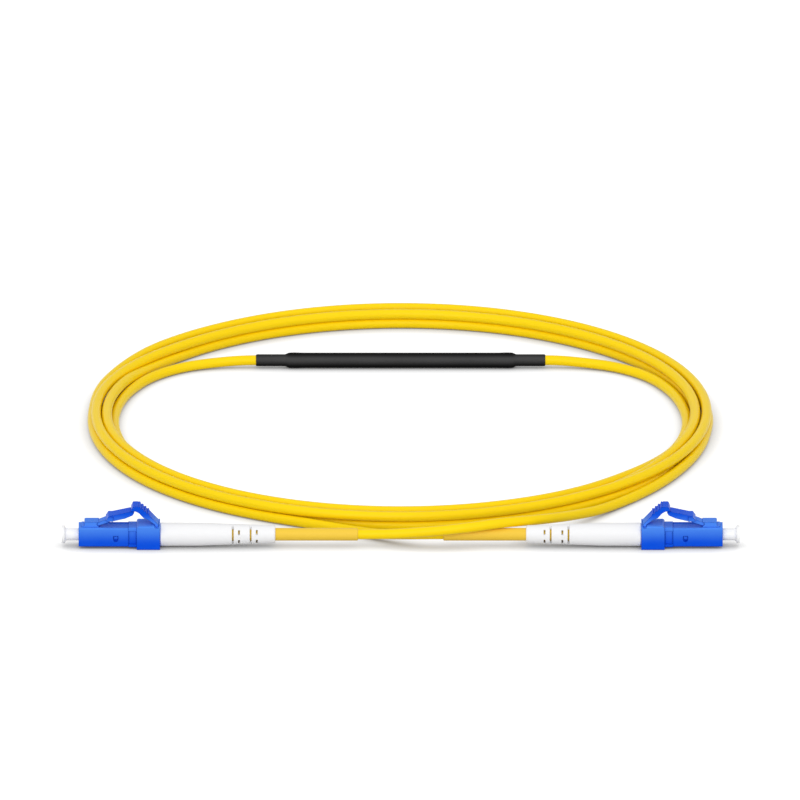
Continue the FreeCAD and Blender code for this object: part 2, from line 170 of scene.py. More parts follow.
class Graph:
    """A node tree that is filled from Python."""

    def __init__(self, tree: bpy.types.NodeTree) -> None:
        """Empties the tree.

        Args:
            tree: A material's, a world's or a geometry group's tree.
        """
        self.tree = tree
        tree.nodes.clear()

    def node(
        self,
        kind: str,
        settings: Optional[Mapping[str, Any]] = None,
        sockets: Optional[Mapping[Union[str, int], Any]] = None,
    ) -> bpy.types.Node:
        """Adds one node.

        Args:
            kind: The node's type.
            settings: Its own settings, such as a Math node's operation, which come first.
            sockets: Values, sockets or links for its inputs, by name or by place.

        Returns:
            The new node.
        """
        made = self.tree.nodes.new(kind)
        for name, value in (settings or {}).items():
            setattr(made, name, value)
        for name, value in (sockets or {}).items():
            target = made.inputs[name]
            if isinstance(value, Socket):
                value = value.link
            if isinstance(value, bpy.types.NodeSocket):
                self.tree.links.new(value, target)
            else:
                target.default_value = value
        return made

    def math(self, operation: str, first: Number, second: Number) -> Socket:
        """Adds one sum of two values.

        Args:
            operation: The Math node's operation.
            first: The left value.
            second: The right value.

        Returns:
            The sum's result.
        """
        made = self.node("ShaderNodeMath", {"operation": operation}, {0: first, 1: second})
        return Socket(self, made.outputs[0])

    def value(self, node: bpy.types.Node, output: Union[str, int]) -> Socket:
        """Wraps one of a node's outputs."""
        return Socket(self, node.outputs[output])

    def place(self) -> Socket:
        """The surface's place in the part's frame, in metres."""
        return self.value(self.node("ShaderNodeTexCoord"), "Object")

    def between(self, value: Socket, low: float, high: float) -> Socket:
        """How far a value has gone from one level to another, eased at both ends.

        Args:
            value: The value.
            low: Where the result is 0.
            high: Where the result is 1. It may be the lower of the two.

        Returns:
            A value from 0 to 1.
        """
        settings = {"clamp": True, "interpolation_type": "SMOOTHSTEP"}
        sockets = {"Value": value, "From Min": low, "From Max": high}
        return self.value(self.node("ShaderNodeMapRange", settings, sockets), 0)

    def edges(self, width: float) -> Socket:
        """Where the surface turns sharply.

        Args:
            width: How far from an edge it reaches, in metres.

        Returns:
            1 on an edge and 0 away from it.
        """
        soft = self.node("ShaderNodeBevel", {"samples": 8}, {"Radius": width}).outputs[0]
        flat = self.node("ShaderNodeNewGeometry").outputs["Normal"]
        made = self.node("ShaderNodeVectorMath", {"operation": "DOT_PRODUCT"}, {0: soft, 1: flat})
        return self.between(self.value(made, "Value"), EDGE_STARTS, EDGE_FULL)

    def height(self) -> Socket:
        """How far the surface is above the table, in metres."""
        return self.value(self.node("ShaderNodeSeparateXYZ", None, {0: self.place()}), "Z")

    def stretched(self, scale: Point) -> Socket:
        """The surface's place with each axis multiplied.

        Args:
            scale: The three factors.

        Returns:
            The place as a vector.
        """
        made = self.node("ShaderNodeMapping", None, {"Vector": self.place(), "Scale": scale})
        return self.value(made, "Vector")

    def noise(self, vector: Socket, scale: float, detail: float) -> Socket:
        """A soft random value from 0 to 1.

        Args:
            vector: Where it is read.
            scale: Its waves in a unit of the vector.
            detail: How many finer layers it has.

        Returns:
            The random value.
        """
        sockets = {"Vector": vector, "Scale": scale, "Detail": detail}
        return self.value(self.node("ShaderNodeTexNoise", {"noise_dimensions": "3D"}, sockets), "Fac")

    def mix(self, factor: Number, first: Union[Socket, Colour], second: Union[Socket, Colour]) -> Socket:
        """Blends two colours.

        Args:
            factor: 0 for the first and 1 for the second.
            first: One colour.
            second: The other colour.

        Returns:
            The blended colour.
        """
        ends = [end if isinstance(end, Socket) else (*end, 1.0) for end in (first, second)]
        made = self.node("ShaderNodeMix", {"data_type": "RGBA"}, {0: factor, 6: ends[0], 7: ends[1]})
        return self.value(made, 2)

    def bump(self, height: Socket, distance: float, strength: float, rounding: float = 0.0) -> Socket:
        """Tilts the surface by a height.

        Args:
            height: The height, from 0 to 1.
            distance: How far 1 stands out, in metres.
            strength: How much of the tilt is used.
            rounding: The radius of the soft edges under the tilt, in metres.

        Returns:
            The normal.
        """
        sockets: Dict[str, Any] = {"Height": height, "Distance": distance, "Strength": strength}
        if rounding > 0:
            edge = self.node("ShaderNodeBevel", {"samples": 6}, {"Radius": rounding})
            sockets["Normal"] = edge.outputs[0]
        return self.value(self.node("ShaderNodeBump", None, sockets), 0)


def new_material(name: str) -> Tuple[bpy.types.Material, Graph]:
    """A material with an empty node tree.

    Args:
        name: The material's name.

    Returns:
        The material and its graph.
    """
    material = bpy.data.materials.new(name)
    material.use_nodes = True
    return material, Graph(material.node_tree)


@dataclass(frozen=True)
class Finish:
    """What every finish has: a name, a colour and a gloss."""

    name: str
    colour: Colour
    roughness: float

    def material(self) -> bpy.types.Material:
        """Makes the finish's material.

        Returns:
            The material.
        """
        material, graph = new_material(self.name)
        sockets = self.surface(graph)
        shader = graph.node("ShaderNodeBsdfPrincipled", None, sockets)
        graph.node("ShaderNodeOutputMaterial", None, {"Surface": shader.outputs[0]})
        return material

    def surface(self, graph: Graph) -> Dict[str, Any]:
        """The shader's inputs, which each finish gives in its own way."""
        raise NotImplementedError


@dataclass(frozen=True)
class Jacket(Finish):
    """Extruded cable jacket: glossy, with faint drawing lines along it and slow changes of shade."""

    deep: Colour
    specular: float = 0.2
    line_height: float = 0.01 * MM
    drift_waves: float = 45.0
    speck_waves: float = 1800.0
    line_waves: float = 9.0

    def surface(self, graph: Graph) -> Dict[str, Any]:
        """Shade that drifts along the cable, and fine lines that follow it.

        Args:
            graph: The material's graph.

        Returns:
            The shader's inputs.
        """
        place = graph.place()
        drift = graph.noise(place, self.drift_waves, 2.0)
        speck = graph.noise(place, self.speck_waves, 4.0)
        around = graph.value(graph.node("ShaderNodeAttribute", {"attribute_name": AROUND}), "Vector")
        lines = graph.noise(around, self.line_waves, 3.0)
        height = lines * 0.7 + speck * 0.3
        return {
            "Base Color": graph.mix(drift * 0.55 + speck * 0.15, self.colour, self.deep),
            "Roughness": self.roughness + (drift - 0.5) * 0.08 + (speck - 0.5) * 0.1,
            "Specular IOR Level": self.specular,
            "Normal": graph.bump(height, self.line_height, 0.5),
        }


@dataclass(frozen=True)
class Moulding(Finish):
    """Moulded plastic: fine sparked grain, soft edges in a colour of their own (mostly darker, a painted
    shade) and, where asked for, a painted highlight band that makes its sides paler higher up.
    """

    # The paler colour: random cloud tone and the painted highlight on the sides both mix towards it.
    pale_tone_and_painted_light: Colour
    # Colour of the sharp edges: darker on most mouldings, as painted shade.
    edge: Colour
    edge_width: float = 0.2 * MM
    cloud_waves: float = 260.0
    grain_waves: float = 5200.0
    grain_height: float = 0.008 * MM
    rounding: float = 0.09 * MM
    specular: float = 0.5
    coat: float = 0.1
    coat_roughness: float = 0.2
    # Strength and heights of the painted highlight: a band along the sides that is paler higher up.
    painted_light: float = 0.0
    painted_light_foot: float = 1.2 * MM
    painted_light_top: float = 5.6 * MM
    painted_light_end: float = 8.5 * MM
    transmission: float = 0.0

    def surface(self, graph: Graph) -> Dict[str, Any]:
        """Grain and clouds, a painted highlight band that makes the sides paler higher up, and edges in a
        colour of their own, mostly darker as painted shade.

        Args:
            graph: The material's graph.

        Returns:
            The shader's inputs.
        """
        place = graph.place()
        cloud = graph.noise(place, self.cloud_waves, 3.0)
        grain = graph.noise(place, self.grain_waves, 2.0)
        height = graph.height()
        # Painted highlight: above the foot height the sides mix towards the pale colour, fully at the top
        # height, and back out by the end height.
        rise = graph.between(height, self.painted_light_foot, self.painted_light_top)
        painted_light_band = rise * graph.between(height, self.painted_light_end, self.painted_light_top) * self.painted_light
        sides = graph.mix(painted_light_band + cloud * 0.1, self.colour, self.pale_tone_and_painted_light)
        # Painted shade: sharp edges mix towards the edge colour, darker than the body on the blue, white and
        # milky mouldings, paler on the buffer.
        painted_edge_shade = graph.edges(self.edge_width) * (0.5 + cloud * 0.6)
        return {
            "Base Color": graph.mix(painted_edge_shade, sides, self.edge),
            "Roughness": self.roughness + (cloud - 0.5) * 0.1 + (grain - 0.5) * 0.08,
            "Specular IOR Level": self.specular,
            "Coat Weight": self.coat,
            "Coat Roughness": self.coat_roughness,
            "Transmission Weight": self.transmission,
            "Normal": graph.bump(grain, self.grain_height, 0.35, self.rounding),
        }


@dataclass(frozen=True)
class ShrunkTube(Finish):
    """Heat-shrunk tube: satin skin with faint creases round it and a painted sheen, a lighter band along its
    flanks.
    """

    # The lighter colour of the painted sheen along the flanks.
    painted_sheen: Colour
    foot: float = 0.7 * MM
    flank: float = 2.6 * MM
    crown: float = 3.6 * MM
    specular: float = 0.02
    crease_height: float = 0.05 * MM
    crease_waves: Point = (900.0, 160.0, 160.0)
    skin_waves: float = 3200.0
    cloud_waves: float = 120.0

    def surface(self, graph: Graph) -> Dict[str, Any]:
        """Creases that run round the tube, over a fine leathery skin with a painted sheen along the flanks.

        Args:
            graph: The material's graph.

        Returns:
            The shader's inputs.
        """
        crease = graph.noise(graph.stretched(self.crease_waves), 1.0, 4.0)
        skin = graph.noise(graph.place(), self.skin_waves, 3.0)
        cloud = graph.noise(graph.place(), self.cloud_waves, 3.0)
        height = graph.height()
        # Painted highlight: from the foot up to the flank height, and back out by the crown, the tube mixes
        # towards the lighter sheen colour.
        rise = graph.between(height, self.foot, self.flank)
        dust = rise * graph.between(height, self.crown, self.flank)
        return {
            "Base Color": graph.mix(dust * (0.6 + cloud * 0.5 + skin * 0.3), self.colour, self.painted_sheen),
            "Roughness": self.roughness + (cloud - 0.5) * 0.12 + (skin - 0.5) * 0.1,
            "Specular IOR Level": self.specular,
            "Normal": graph.bump(crease * 0.7 + skin * 0.3, self.crease_height, 0.3),
        }


@dataclass(frozen=True)
class TurnedMetal(Finish):
    """Turned or drawn metal with fine tool rings along its axis."""

    dull: Colour
    ring_height: float = 0.004 * MM
    ring_waves: Point = (9000.0, 300.0, 300.0)
    tarnish_waves: float = 700.0
    rounding: float = 0.05 * MM

    def surface(self, graph: Graph) -> Dict[str, Any]:
        """Rings along X, a little uneven, and a tarnish that comes and goes.

        Args:
            graph: The material's graph.

        Returns:
            The shader's inputs.
        """
        rings = graph.noise(graph.stretched(self.ring_waves), 1.0, 2.0)
        tarnish = graph.noise(graph.place(), self.tarnish_waves, 4.0)
        return {
            "Base Color": graph.mix(tarnish * 0.5, self.colour, self.dull),
            "Metallic": 1.0,
            "Roughness": self.roughness + (rings - 0.5) * 0.15 + (tarnish - 0.5) * 0.1,
            "Normal": graph.bump(rings, self.ring_height, 0.4, self.rounding),
        }


@dataclass(frozen=True)
class Ceramic(Finish):
    """Polished white ceramic with a faint mottle."""

    shade: Colour
    mottle_waves: float = 1500.0
    mottle_height: float = 0.002 * MM
    rounding: float = 0.04 * MM
    polish: float = 0.4
    polish_roughness: float = 0.05

    def surface(self, graph: Graph) -> Dict[str, Any]:
        """A mottle under a clear polish.

        Args:
            graph: The material's graph.

        Returns:
            The shader's inputs.
        """
        mottle = graph.noise(graph.place(), self.mottle_waves, 4.0)
        return {
            "Base Color": graph.mix(mottle * 0.6, self.colour, self.shade),
            "Roughness": self.roughness + (mottle - 0.5) * 0.06,
            "Coat Weight": self.polish,
            "Coat Roughness": self.polish_roughness,
            "Normal": graph.bump(mottle, self.mottle_height, 0.2, self.rounding),
        }


YELLOW_JACKET = Jacket(
    name="yellow_jacket",
    colour=(0.98, 0.7, 0.003),
    roughness=0.32,
    deep=(0.96, 0.65, 0.002),
    specular=0.12,
)
YELLOW_SLEEVE = Jacket(
    name="yellow_sleeve",
    colour=(0.88, 0.59, 0.056),
    roughness=0.44,
    deep=(0.85, 0.535, 0.037),
)
BLUE_PLUG = Moulding(
    name="blue_plug",
    colour=(0.001, 0.076, 0.71),
    roughness=0.28,
    pale_tone_and_painted_light=(0.075, 0.26, 0.87),
    # Darker edge colour: painted shade along the blue edges.
    edge=(0.001, 0.032, 0.36),
    specular=0.025,
    coat=0.0,
    # Painted highlight: the sides turn paler blue higher up.
    painted_light=0.9,
)
WHITE_BOOT = Moulding(
    name="white_boot",
    colour=(0.87, 0.87, 0.88),
    roughness=0.46,
    pale_tone_and_painted_light=(0.9, 0.9, 0.9),
    # Darker edge colour: painted shade along the boot's edges.
    edge=(0.7, 0.7, 0.71),
    specular=0.3,
    coat=0.0,
)
MILKY_CAP = Moulding(
    name="milky_cap",
    colour=(0.97, 0.97, 0.97),
    roughness=0.36,
    pale_tone_and_painted_light=(0.98, 0.98, 0.98),
    # Slightly darker edge colour: painted shade along the cap's edges.
    edge=(0.92, 0.92, 0.93),
    transmission=0.04,
    rounding=0.0,
)
WHITE_BUFFER = Moulding(
    name="white_buffer",
    colour=(0.84, 0.83, 0.78),
    roughness=0.5,
    pale_tone_and_painted_light=(0.9, 0.89, 0.86),
    edge=(0.9, 0.89, 0.86),
    coat=0.0,
    rounding=0.0,
)
BLACK_TUBE = ShrunkTube(
    name="black_tube",
    colour=(0.004, 0.004, 0.004),
    roughness=0.46,
    # Painted sheen along the tube's flanks.
    painted_sheen=(0.057, 0.057, 0.058),
)
NICKEL = TurnedMetal(
    name="nickel",
    colour=(0.73, 0.7, 0.65),
    roughness=0.26,
    dull=(0.52, 0.5, 0.46),
)
STEEL = TurnedMetal(
    name="drawn_steel",
    colour=(0.6, 0.6, 0.61),
    roughness=0.3,
    dull=(0.42, 0.42, 0.43),
)
WHITE_CERAMIC = Ceramic(
    name="white_ceramic",
    colour=(0.9, 0.89, 0.86),
    roughness=0.12,
    shade=(0.84, 0.82, 0.77),
)


class Workshop:
    """Makes each material once, paints CAD nodes and puts new pieces in the scene."""

    def __init__(self) -> None:
        """Starts with no material made."""
        self._materials: Dict[str, bpy.types.Material] = {}

    def finish(self, finish: Finish) -> bpy.types.Material:
        """A finish's material, made at its first use.

        Args:
            finish: The finish.

        Returns:
            The material.
        """
        if finish.name not in self._materials:
            self._materials[finish.name] = finish.material()
        return self._materials[finish.name]

    def paint(self, node: str, finish: Finish) -> None:
        """Gives a CAD node its finish.

        Args:
            node: The node's name.
            finish: The finish that covers all of it.
        """
        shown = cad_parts[node]
        shown.data.materials.clear()
        shown.data.materials.append(self.finish(finish))
        LOG.info("painted %s with %s", node, finish.name)

    def add(
        self,
        name: str,
        mesh: bpy.types.Mesh,
        body: str,
        slot: str,
        *nodes: str,
    ) -> bpy.types.Object:
        """Puts a finished mesh in the scene.

        Args:
            name: The piece's name.
            mesh: Its mesh, placed in the part's frame.
            body: The body that it rides on.
            slot: The record's material slot. It is not used.
            nodes: The CAD nodes that it stands for.

        Returns:
            The new piece.
        """
        piece = bpy.data.objects.new(name, mesh)
        bpy.context.collection.objects.link(piece)
        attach(piece, body)
        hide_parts(*nodes)
        LOG.info("built %s with %d faces", name, len(mesh.polygons))
        return piece


def turned_mesh(name: str, outline: Outline, centre: Vector, sides: int) -> bpy.types.Mesh:
    """Turns a closed outline about an axis along X.

    Args:
        name: The mesh's name.
        outline: Points as (along the axis, radius). A radius of 0 lies on the axis.
        centre: A point on the axis, which the outline starts from.
        sides: How many faces go round.

    Returns:
        The closed mesh.
    """
    shape = bmesh.new()
    rings = []
    for along, radius in outline:
        count = sides if radius > 0 else 1
        ring = []
        for index in range(count):
            angle = 2 * math.pi * index / sides
            spoke = Vector((along, radius * math.cos(angle), radius * math.sin(angle)))
            ring.append(shape.verts.new(centre + spoke))
        rings.append(ring)
    for ring, following in zip(rings, rings[1:] + rings[:1]):
        for index in range(sides):
            corners = [
                ring[index % len(ring)],
                ring[(index + 1) % len(ring)],
                following[(index + 1) % len(following)],
                following[index % len(following)],
            ]
            corners = list(dict.fromkeys(corners))
            if len(corners) > 2:
                shape.faces.new(corners)
    bmesh.ops.recalc_face_normals(shape, faces=shape.faces)
    for face in shape.faces:
        face.smooth = True
    mesh = bpy.data.meshes.new(name)
    shape.to_mesh(mesh)
    shape.free()
    return mesh


def corner_arc(before: Corner, corner: Corner, after: Corner, radius: float, steps: int = 4) -> Outline:
    """Rounds one corner of an outline.

    Args:
        before: The corner before it.
        corner: The sharp corner.
        after: The corner after it.
        radius: How far before and after the corner its arc starts.
        steps: How many pieces the arc has.

    Returns:
        The arc's points.
    """
    here = Vector(corner)
    back = Vector(before) - here
    onward = Vector(after) - here
    reach = min(radius, LARGEST_CORNER * back.length, LARGEST_CORNER * onward.length)
    start = here + back.normalized() * reach
    end = here + onward.normalized() * reach
    arc: Outline = []
    for step in range(steps + 1):
        share = step / steps
        bend = start.lerp(here, share).lerp(here.lerp(end, share), share)
        arc.append((bend.x, bend.y))
    return arc


class PathTree:
    """A geometry tree that sweeps a round section along a path and keeps where each point lies round it."""

    def __init__(self) -> None:
        """Builds the tree with its named inputs."""
        group = bpy.data.node_groups.new("round_section_on_path", "GeometryNodeTree")
        face = group.interface
        face.new_socket("Path", in_out="INPUT", socket_type="NodeSocketGeometry")
        face.new_socket("Diameter", in_out="INPUT", socket_type="NodeSocketFloat")
        face.new_socket("Sides", in_out="INPUT", socket_type="NodeSocketInt")
        face.new_socket("Finish", in_out="INPUT", socket_type="NodeSocketMaterial")
        face.new_socket("Surface", in_out="OUTPUT", socket_type="NodeSocketGeometry")
        self.group = group
        graph = Graph(group)
        given = graph.node("NodeGroupInput").outputs
        line = graph.node("GeometryNodeMeshToCurve", None, {0: given["Path"]})
        half = graph.math("MULTIPLY", Socket(graph, given["Diameter"]), 0.5)
        ring = graph.node(
            "GeometryNodeCurvePrimitiveCircle", None, {"Resolution": given["Sides"], "Radius": half}
        )
        spot = graph.node("GeometryNodeInputPosition")
        unit = graph.node("ShaderNodeVectorMath", {"operation": "NORMALIZE"}, {0: spot.outputs[0]})
        kept = graph.node(
            "GeometryNodeStoreNamedAttribute",
            {"data_type": "FLOAT_VECTOR", "domain": "POINT"},
            {"Geometry": ring.outputs[0], "Name": AROUND, "Value": unit.outputs[0]},
        )
        swept = graph.node(
            "GeometryNodeCurveToMesh",
            None,
            {"Curve": line.outputs[0], "Profile Curve": kept.outputs[0], "Fill Caps": True},
        )
        soft = graph.node("GeometryNodeSetShadeSmooth", None, {"Geometry": swept.outputs[0]})
        real = graph.node("GeometryNodeRealizeInstances", None, {"Geometry": soft.outputs[0]})
        done = graph.node(
            "GeometryNodeSetMaterial", None, {"Geometry": real.outputs[0], "Material": given["Finish"]}
        )
        graph.node("NodeGroupOutput", None, {0: done.outputs[0]})

    def sweep(
        self,
        name: str,
        points: Sequence[Vector],
        diameter: float,
        sides: int,
        finish: bpy.types.Material,
    ) -> bpy.types.Mesh:
        """Runs the tree on one path.

        Args:
            name: The mesh's name.
            points: The path, in the part's frame.
            diameter: The section's diameter.
            sides: How many faces go round.
            finish: The material.

        Returns:
            A plain mesh.
        """
        path = bpy.data.meshes.new(name + "_path")
        edges = [(index, index + 1) for index in range(len(points) - 1)]
        path.from_pydata([tuple(point) for point in points], edges, [])
        carrier = bpy.data.objects.new(name + "_path", path)
        bpy.context.collection.objects.link(carrier)
        modifier = carrier.modifiers.new("sweep", "NODES")
        modifier.node_group = self.group
        values = {"Diameter": diameter, "Sides": sides, "Finish": finish}
        for item in self.group.interface.items_tree:
            if item.in_out == "INPUT" and item.name in values:
                modifier[item.identifier] = values[item.name]
        graph = bpy.context.evaluated_depsgraph_get()
        mesh = bpy.data.meshes.new_from_object(carrier.evaluated_get(graph))
        carrier.modifiers.remove(modifier)
        bpy.data.objects.remove(carrier)
        bpy.data.meshes.remove(path)
        mesh.name = name
        return mesh


@dataclass(frozen=True)
class Station:
    """Where a cable lies in the coil: an angle in degrees, a radius in millimetres and its layer."""

    angle: float
    radius: float
    layer: float


@dataclass
class CableRun:
    """One length of cable: out of a plug, round the coil on its own lanes, and into the splice tube.

    The two routes are in millimetres from the coil's middle, the last value being the lift above lying on the
    table. tight_radius and fan are in millimetres too, angles are in degrees, and the other sizes in metres.
    """

    name: str
    plug: Side
    tube_end: Side
    tail_route: Sequence[Point]
    lead_route: Sequence[Point]
    lanes: Sequence[Station]
    first_angle: float
    last_angle: float
    length: float
    stands_for: Sequence[str]
    step: float = 10.0
    diameter: float = 2.3 * MM
    straight_out: float = 3.0 * MM
    tight_radius: float = 69.9
    fan: float = 1.2
    sides: int = 20
    smoothness: int = 6

    def coil_centre(self) -> Vector:
        """The middle of the coil on the table."""
        across, deep, _ = middle_of("cable_coil")
        return Vector((across, deep, 0.0))

    def fanned(self, radius: float, turn: float) -> float:
        """Lets the inner lanes spread inwards at the coil's front and back, where nothing holds them.

        Args:
            radius: The lane's radius at the coil's sides, in millimetres.
            turn: The angle round the coil, in radians.

        Returns:
            The radius at that angle.
        """
        inner = min(max((self.tight_radius - radius) * MM / self.diameter, 0.0), 1.0)
        return radius - self.fan * inner * math.sin(turn) ** 2

    def coil_points(self) -> List[Point]:
        """The turns: points at even angles, eased from one lane to the next.

        Returns:
            Points in millimetres: across from the coil's middle, and the lift above lying on the table.
        """
        lanes = sorted(self.lanes, key=lambda lane: lane.angle)
        count = round(abs(self.last_angle - self.first_angle) / self.step)
        # The spline touches the middles of its polygon's sides, so the corners stand out a little.
        outward = 1 / math.cos(math.radians(self.step / 2))
        points = []
        for index in range(count + 1):
            angle = self.first_angle + (self.last_angle - self.first_angle) * index / count
            after = next((lane for lane in lanes[1:-1] if lane.angle > angle), lanes[-1])
            before = lanes[lanes.index(after) - 1]
            share = eased(angle, before.angle, after.angle)
            turn = math.radians(angle)
            radius = self.fanned(before.radius + (after.radius - before.radius) * share, turn) * outward
            layer = before.layer + (after.layer - before.layer) * share
            points.append((radius * math.cos(turn), radius * math.sin(turn), layer * self.diameter / MM))
        return points

    def control_points(self) -> List[Vector]:
        """The whole route in the part's frame: plug, tail, turns, lead and tube.

        Returns:
            The spline's control points in metres.
        """
        inward = self.plug.opposite()
        exit_point = Vector(end_of(self.plug.node("stiffening_sleeve"), inward))
        entry = Vector(end_of("shrink_tube", self.tube_end))
        lying = self.coil_centre() + Vector((0.0, 0.0, self.diameter / 2))
        route = (*self.tail_route, *self.coil_points(), *reversed(self.lead_route))
        free = [lying + Vector(point) * MM for point in route]
        ahead = Vector((inward.value * self.straight_out, 0.0, 0.0))
        before_tube = Vector((self.tube_end.value * self.straight_out, 0.0, 0.0))
        return [exit_point, exit_point + ahead, *free, entry + before_tube, entry]

    def line(self) -> List[Vector]:
        """The smooth line that the cable follows.

        Returns:
            Points read from the route's spline.
        """
        curve = bpy.data.curves.new(self.name + "_route", "CURVE")
        curve.dimensions = "3D"
        curve.resolution_u = self.smoothness
        spline = curve.splines.new("NURBS")
        points = self.control_points()
        spline.points.add(len(points) - 1)
        for target, point in zip(spline.points, points):
            target.co = (*point, 1.0)
        spline.order_u = 3
        spline.use_endpoint_u = True
        carrier = bpy.data.objects.new(self.name + "_route", curve)
        mesh = bpy.data.meshes.new_from_object(carrier)
        line = [vertex.co.copy() for vertex in mesh.vertices]
        bpy.data.objects.remove(carrier)
        bpy.data.curves.remove(curve)
        bpy.data.meshes.remove(mesh)
        return line

    def build(self, shop: Workshop, tree: PathTree) -> None:
        """Args:
            shop: Where the finish comes from.
            tree: The tree that sweeps the section.
        """
        line = self.line()
        mesh = tree.sweep(self.name, line, self.diameter, self.sides, shop.finish(YELLOW_JACKET))
        piece = shop.add(self.name, mesh, ROOT_BODY, "yellow_jacket", *self.stands_for)


CABLE_FROM_LEFT = CableRun(
    name="cable_from_left",
    plug=Side.LEFT,
    tube_end=Side.RIGHT,
    tail_route=(
        (-1.0, -80.8, 2.05),
        (8.5, -82.4, 3.35),
        (16.0, -82.0, 4.1),
        (23.0, -80.4, 4.65),
        (30.5, -76.0, 3.65),
        (38.5, -68.0, 1.7),
        (47.0, -58.5, 0.0),
        (59.6, -42.2, 0.0),
        (68.1, -22.0, 0.0),
        (70.75, -3.0, 0.0),
    ),
    lead_route=(
        (42.2, 39.0, 0.25),
        (49.8, 36.8, 0.0),
        (57.2, 30.4, 0.0),
        (62.0, 21.1, 0.0),
        (64.55, 12.1, 0.0),
    ),
    lanes=(
        Station(0.0, 70.65, 0.0),
        Station(136.0, 70.5, 0.0),
        Station(176.0, 68.1, 0.0),
        Station(240.0, 68.1, 0.0),
        Station(275.0, 70.0, 0.0),
        Station(318.0, 70.2, 0.0),
        Station(345.0, 68.2, 0.0),
        Station(382.0, 68.0, 0.0),
        Station(412.0, 67.8, 0.0),
        Station(505.0, 67.6, 0.0),
        Station(522.0, 67.1, 0.85),
        Station(534.0, 67.3, 1.0),
        Station(546.0, 67.6, 1.0),
        Station(652.0, 67.6, 1.0),
        Station(680.0, 65.3, 0.5),
        Station(706.0, 65.75, 0.0),
        Station(734.0, 65.65, 0.0),
    ),
    first_angle=7.0,
    last_angle=721.0,
    length=1.045,
    stands_for=("left_tail", "right_lead", "cable_coil"),
)
CABLE_FROM_RIGHT = CableRun(
    name="cable_from_right",
    plug=Side.RIGHT,
    tube_end=Side.LEFT,
    tail_route=(
        (1.4, -79.05, 1.3),
        (-5.2, -76.0, 0.25),
        (-11.5, -72.75, 0.0),
        (-20.5, -68.3, 0.0),
        (-31.0, -63.6, 0.0),
    ),
    lead_route=(
        (-42.2, 39.2, 0.25),
        (-50.0, 36.9, 0.0),
        (-57.4, 30.4, 0.0),
        (-62.2, 21.2, 0.0),
        (-64.8, 12.1, 0.0),
    ),
    lanes=(
        Station(246.0, 70.45, 0.0),
        Station(196.0, 70.5, 0.0),
        Station(178.0, 70.65, 0.0),
        Station(162.0, 71.85, 0.45),
        Station(144.0, 71.5, 0.92),
        Station(126.0, 70.6, 1.0),
        Station(90.0, 70.6, 1.0),
        Station(-60.0, 70.0, 1.0),
        Station(-192.0, 69.9, 1.0),
        Station(-229.0, 67.6, 1.0),
        Station(-378.0, 67.6, 1.0),
        Station(-400.0, 67.9, 0.5),
        Station(-420.0, 68.3, 0.1),
        Station(-430.0, 68.0, 0.0),
        Station(-480.0, 65.8, 0.0),
        Station(-545.0, 65.75, 0.0),
    ),
    first_angle=234.0,
    last_angle=-541.0,
    length=1.044,
    stands_for=("right_tail", "left_lead"),
)


